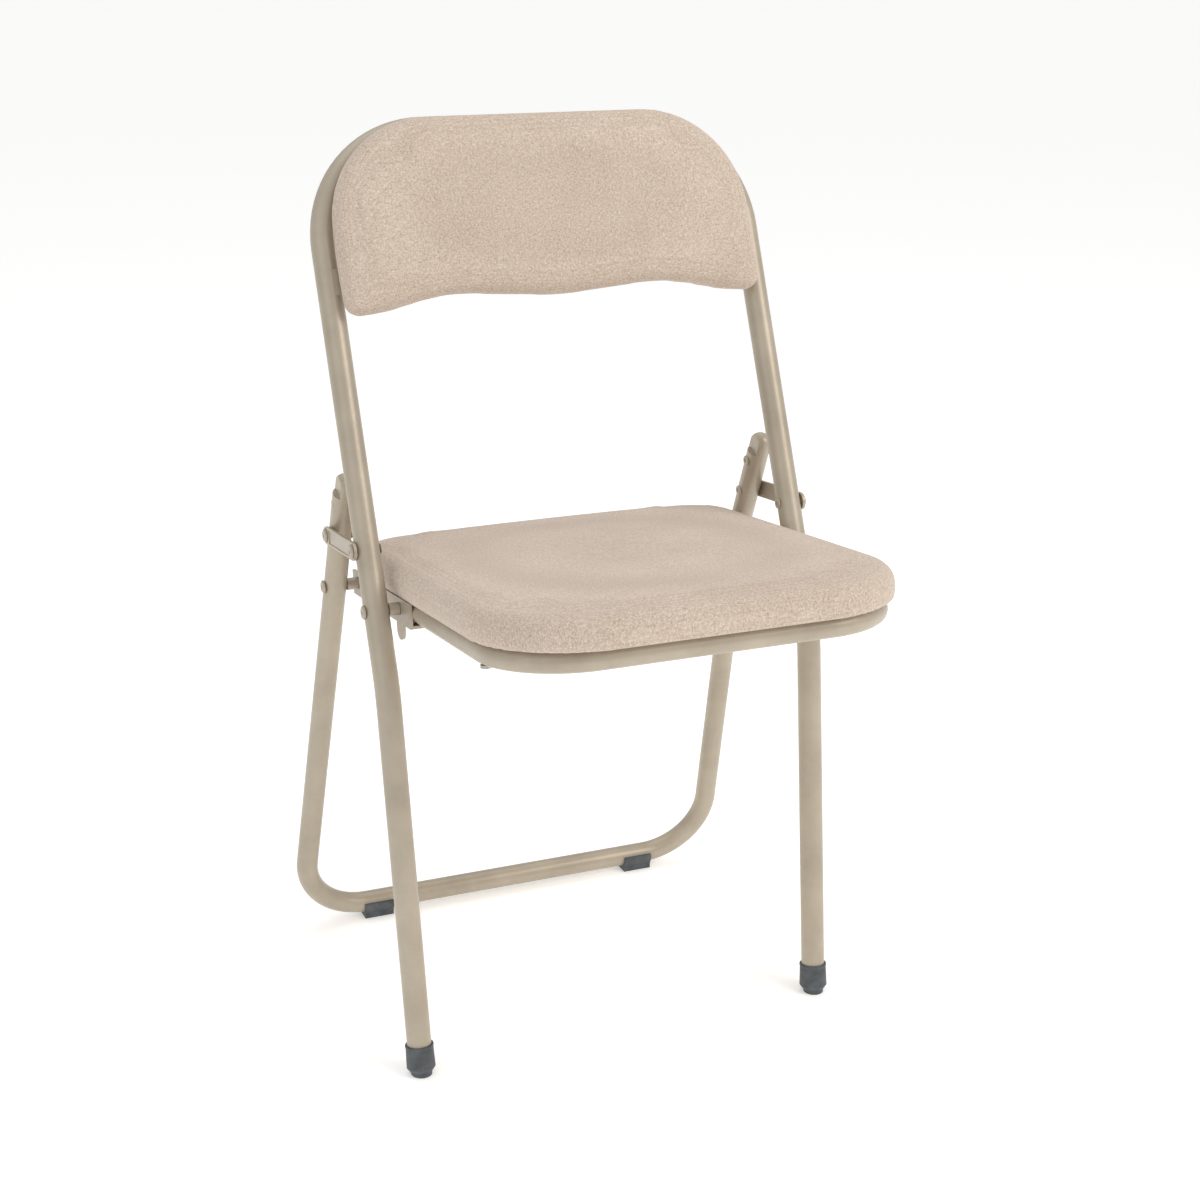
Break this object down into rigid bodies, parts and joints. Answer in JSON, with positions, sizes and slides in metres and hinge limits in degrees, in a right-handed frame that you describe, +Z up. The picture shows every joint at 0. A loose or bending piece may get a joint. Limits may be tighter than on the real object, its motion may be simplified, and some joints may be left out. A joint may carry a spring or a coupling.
{
  "type": "folding chair",
  "caption": "Tubular folding chair with an upholstered seat and backrest; seat, rear legs and side links fold together.",
  "frame": {"origin": "on the floor, in the middle of the open chair's footprint box", "axes": "+Z up, the sitter faces -Y, +X is the sitter's left"},
  "size_m": [0.4432, 0.501, 0.7832],
  "materials": {
    "paint": "satin powder coat, warm beige",
    "fabric": "heathered woven upholstery",
    "plastic": "matte charcoal",
    "plywood": "raw board",
    "foam": "open-cell foam",
    "zinc": "zinc plated"
  },
  "bodies": {
    "front": {"front_frame": "paint", "front_foot_cap_left": "plastic", "front_foot_cap_right": "plastic", "back_mount_tabs": "paint", "back_board": "plywood", "back_foam": "foam", "back_cover": "fabric", "back_screws": "zinc", "link_front_rivet_left": "paint", "link_front_rivet_right": "paint", "seat_pivot_rivet_left": "paint", "seat_pivot_rivet_right": "paint", "seat_pivot_spacer_left": "paint", "seat_pivot_spacer_right": "paint"},
    "seat": {"seat_frame": "paint", "seat_bracket_left": "paint", "seat_bracket_right": "paint", "seat_cross_bar": "paint", "seat_board": "plywood", "seat_foam": "foam", "seat_cover": "fabric", "seat_screws": "zinc"},
    "links": {"link_left": "paint", "link_right": "paint"},
    "rear": {"rear_frame": "paint", "rear_leg_tip_left": "paint", "rear_leg_tip_right": "paint", "rear_tip_rivets": "paint", "rear_glide_left": "plastic", "rear_glide_right": "plastic", "link_rear_rivet_left": "paint", "link_rear_rivet_right": "paint", "rear_pivot_rivet_left": "paint", "rear_pivot_rivet_right": "paint", "rear_pivot_spacer_left": "paint", "rear_pivot_spacer_right": "paint"}
  },
  "joints": [
    {"name": "seat_fold", "type": "hinge", "parent": "front", "child": "seat", "pos_m": [0, 0.01449, 0.396], "axis": [-1, 0, 0], "range_deg": [0, 65]},
    {"name": "link_swing", "type": "hinge", "parent": "front", "child": "links", "pos_m": [0, 0.03542, 0.443], "axis": [-1, 0, 0], "range_deg": [0, 76.05]},
    {"name": "rear_fold", "type": "hinge", "parent": "links", "child": "rear", "pos_m": [0, 0.11576, 0.434], "axis": [1, 0, 0], "range_deg": [0, 48.25]}
  ],
  "couplings": [
    {"joint": "link_swing", "follows": "seat_fold", "ratio": 1.1692},
    {"joint": "rear_fold", "follows": "seat_fold", "ratio": 0.74154}
  ]
}
